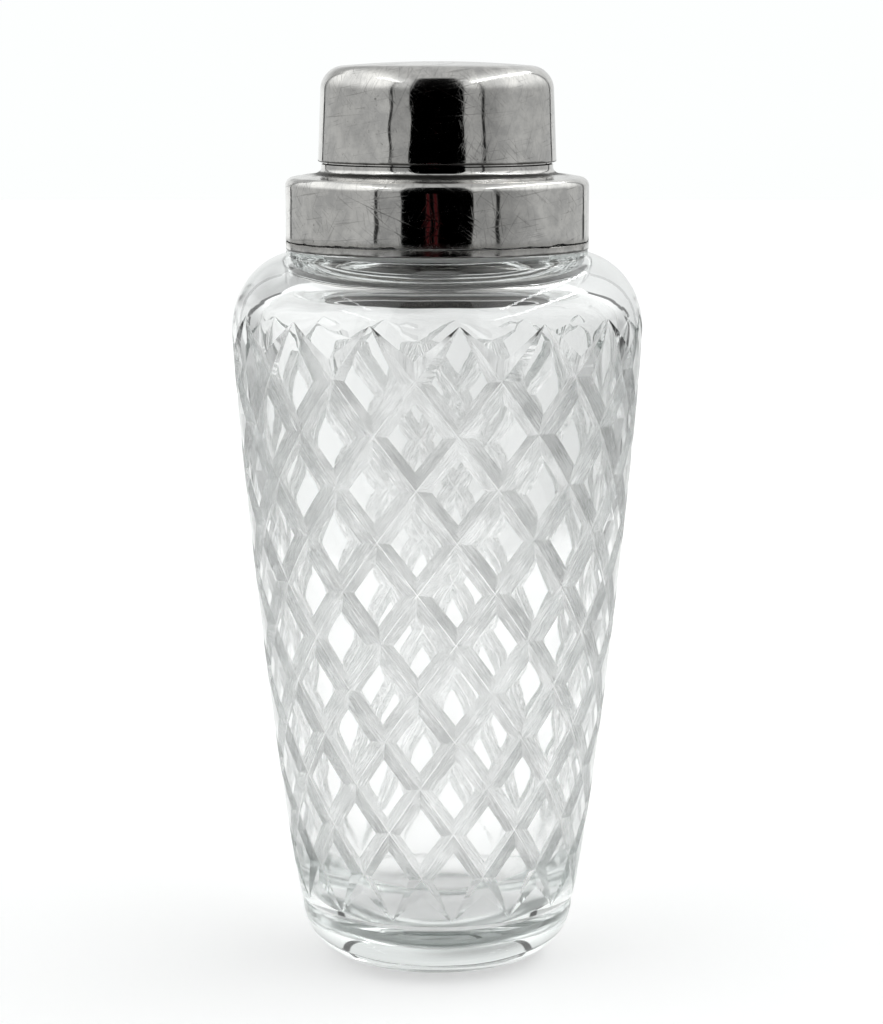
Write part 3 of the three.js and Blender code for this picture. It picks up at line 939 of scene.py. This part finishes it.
class TentRay:
    """A ray from the tent's middle: its direction, and where it meets the ceiling's plane.

    The tent's half width is 1, and side counts from the middle either way.
    """

    def __init__(self, nodes):
        split = nodes.add("ShaderNodeSeparateXYZ")
        nodes.put(split.inputs[0], nodes.add("ShaderNodeTexCoord").outputs["Generated"])
        self.x, self.y, self.z = split.outputs
        self.forward = nodes.math("MULTIPLY", self.y, -1.0)
        side = nodes.math("ABSOLUTE", self.x)
        self.azimuth = nodes.math("DEGREES", nodes.math("ARCTAN2", side, self.forward))
        self.elevation = nodes.math("DEGREES", nodes.math("ARCSINE", self.z))
        upward = nodes.math("MAXIMUM", self.z, 1e-4)
        self.top_side = nodes.math("DIVIDE", nodes.math("MULTIPLY", side, TENT_CEILING), upward)
        self.top_y = nodes.math("DIVIDE", nodes.math("MULTIPLY", self.y, TENT_CEILING), upward)


def tent_opening(nodes, ray):
    """1 in the opening, which runs up the front wall and into the ceiling, with round corners."""
    half, top, corner_width, corner_height = 27.0, 60.0, 4.0, 15.0
    across = nodes.math("SUBTRACT", ray.azimuth, half - corner_width)
    across = nodes.math("DIVIDE", nodes.math("MAXIMUM", across, 0.0), corner_width)
    up = nodes.math("SUBTRACT", ray.elevation, top - corner_height)
    up = nodes.math("DIVIDE", nodes.math("MAXIMUM", up, 0.0), corner_height)
    across_square = nodes.math("MULTIPLY", across, across)
    reach = nodes.math("SQRT", nodes.math("MULTIPLY_ADD", up, up, across_square))
    return nodes.ramp(reach, 0.92, 1.08, 1, 0)


def tent_walls(nodes, ray):
    """The walls, lit from above by the lamps, with dark seams at the tent's corners."""
    front_corner, back_corner = 46.0, 146.0
    walls = nodes.ramp(ray.z, 0.03, 0.48, 0.56, 1.30)
    in_front = nodes.ramp(ray.azimuth, front_corner - 2, front_corner + 2, 1, 0)
    walls = nodes.math("MULTIPLY", walls, nodes.math("MULTIPLY_ADD", in_front, -0.30, 1.0))

    # the back wall is brightest low down behind the shaker and a little darker to the right
    low_down = nodes.ramp(ray.z, -0.12, 0.16, 0.52, 0.34)
    leftward = nodes.ramp(ray.x, -0.22, 0.22, 0.95, 0.50)
    fading = nodes.ramp(ray.z, 0.10, 0.42, 1.0, -2.4)
    pool = nodes.math("MULTIPLY", nodes.math("MULTIPLY", low_down, leftward), fading)
    at_back = nodes.ramp(ray.azimuth, back_corner - 2, back_corner + 4, 0, 1)
    walls = nodes.math("MULTIPLY_ADD", at_back, pool, walls)

    # the right wall darkens towards its front edge
    on_right = nodes.math("GREATER_THAN", ray.x, 0.0)
    past_front = nodes.ramp(ray.azimuth, front_corner - 2, front_corner)
    shade = nodes.ramp(ray.azimuth, front_corner - 2, 88.0, 0.42, 0.0)
    shade = nodes.math("MULTIPLY", nodes.math("MULTIPLY", on_right, past_front), shade)
    walls = nodes.math("MULTIPLY", walls, nodes.math("SUBTRACT", 1.0, shade))

    seams = 0.0
    for corner_azimuth, half_width in ((front_corner, 1.5), (back_corner, 1.9)):
        off = nodes.apart(ray.azimuth, corner_azimuth)
        seam = nodes.ramp(off, half_width * 0.7, half_width * 1.3, 1, 0)
        seams = nodes.math("ADD", seams, seam)
    return nodes.math("MULTIPLY", walls, nodes.math("MULTIPLY_ADD", seams, -0.93, 1.0))


def tent_ceiling(nodes, ray):
    """The ceiling, dimmest along its middle, with a zigzag row of small lamps along each side."""
    lamp_row, lamp_width, beads_per_unit = 0.88, 0.035, 11
    beads = nodes.math("PINGPONG", nodes.math("MULTIPLY", ray.top_y, beads_per_unit), 1.0)
    zigzag = nodes.math("MULTIPLY_ADD", beads, lamp_width, lamp_row - lamp_width / 2)
    off_row = nodes.apart(ray.top_side, zigzag)
    lamps = nodes.ramp(off_row, lamp_width * 0.45, lamp_width * 0.9, 1, 0)
    # the left row is weaker and stops short of the tent's back half
    power = nodes.ramp(ray.x, -0.05, 0.05, 5.0, 12.0)
    front_half = nodes.ramp(ray.top_y, -0.25, -0.05, 1, 0)
    shown = nodes.math("MAXIMUM", front_half, nodes.math("GREATER_THAN", ray.x, 0.0))
    glow = nodes.ramp(ray.top_side, 0.30, 0.80, 0.60, 1.28)
    return nodes.math("MULTIPLY_ADD", nodes.math("MULTIPLY", lamps, shown), power, glow)


def meets_ceiling(nodes, ray):
    """1 where the ray meets the ceiling before any wall."""
    between_sides = nodes.math("LESS_THAN", ray.top_side, 1.0)
    before_back = nodes.math("LESS_THAN", ray.top_y, TENT_BACK)
    behind_front = nodes.math("GREATER_THAN", ray.top_y, -TENT_FRONT)
    upward = nodes.math("GREATER_THAN", ray.z, 0.0)
    lengthwise = nodes.math("MULTIPLY", before_back, behind_front)
    return nodes.math("MULTIPLY", nodes.math("MULTIPLY", between_sides, lengthwise), upward)


def red_things(nodes, ray):
    """Two dark red things that stand low in the opening, a little left of its middle."""
    forward = nodes.math("MAXIMUM", ray.forward, 1e-4)
    across = nodes.math("DIVIDE", ray.x, forward)
    red = 0.0
    for middle, half in ((-0.12, 0.035), (-0.02, 0.03)):
        streak = nodes.ramp(nodes.apart(across, middle), half * 0.3, half, 1, 0)
        red = nodes.math("ADD", red, streak)
    return nodes.math("MULTIPLY", red, nodes.ramp(ray.z, -0.040, -0.036, 1, 0))


def light_tent():
    """The world as a studio tent seen from its middle, with a dark opening towards the camera.

    The camera itself sees it all as near white.
    """
    world = bpy.data.worlds.new("light_tent")
    bpy.context.scene.world = world
    world.use_nodes = True
    nodes = Nodes(world.node_tree)
    ray = TentRay(nodes)
    walls = tent_walls(nodes, ray)
    ceiling = tent_ceiling(nodes, ray)
    above = nodes.math("SUBTRACT", ceiling, walls)
    light = nodes.math("MULTIPLY_ADD", above, meets_ceiling(nodes, ray), walls)

    # light that has come through the glass meets a softer dark in the opening
    path = nodes.add("ShaderNodeLightPath")
    in_opening = tent_opening(nodes, ray)
    darkness = nodes.math("MULTIPLY_ADD", path.outputs["Is Transmission Ray"], -0.10, 1.0)
    darkness = nodes.math("MULTIPLY", in_opening, darkness)
    light = nodes.math("MULTIPLY", light, nodes.math("SUBTRACT", 1.0, darkness))

    seen = path.outputs["Is Camera Ray"]
    light = nodes.math("MULTIPLY_ADD", nodes.math("SUBTRACT", 1.0, light), seen, light)
    red = nodes.math("MULTIPLY", red_things(nodes, ray), in_opening)
    red = nodes.math("MULTIPLY", red, nodes.math("SUBTRACT", 1.0, seen))
    background = nodes.add("ShaderNodeBackground")
    tint = nodes.mix(red, (0.985, 1.0, 0.995, 1), (1.0, 0.12, 0.14, 1))
    nodes.put(background.inputs["Strength"], nodes.math("MULTIPLY_ADD", red, 0.06, light))
    nodes.put(background.inputs["Color"], tint)
    nodes.put(nodes.add("ShaderNodeOutputWorld").inputs["Surface"], background.outputs[0])


def add_camera():
    """A 100 mm lens about 0.7 m off, level with the cap and tilted 9 degrees down."""
    data = bpy.data.cameras.new("camera")
    data.lens = 100
    data.sensor_width = 36
    data.sensor_fit = "AUTO"
    data.clip_start = 0.01
    camera = bpy.data.objects.new("camera", data)
    off_axis, distance, height, tilt_down = 1.07, 706.3, 224.8, 8.99
    camera.location = Vector((off_axis, -distance, height)) * MM
    camera.rotation_euler = (math.radians(90 - tilt_down), 0, 0)
    bpy.context.scene.collection.objects.link(camera)
    bpy.context.scene.camera = camera


add_floor()
light_tent()
add_camera()

scene = bpy.context.scene
scene.view_settings.view_transform = "Standard"
scene.cycles.use_denoising = True
scene.cycles.max_bounces = 32
scene.cycles.transmission_bounces = 24
scene.cycles.glossy_bounces = 12
scene.cycles.transparent_max_bounces = 16
scene.cycles.caustics_refractive = True
scene.cycles.caustics_reflective = True
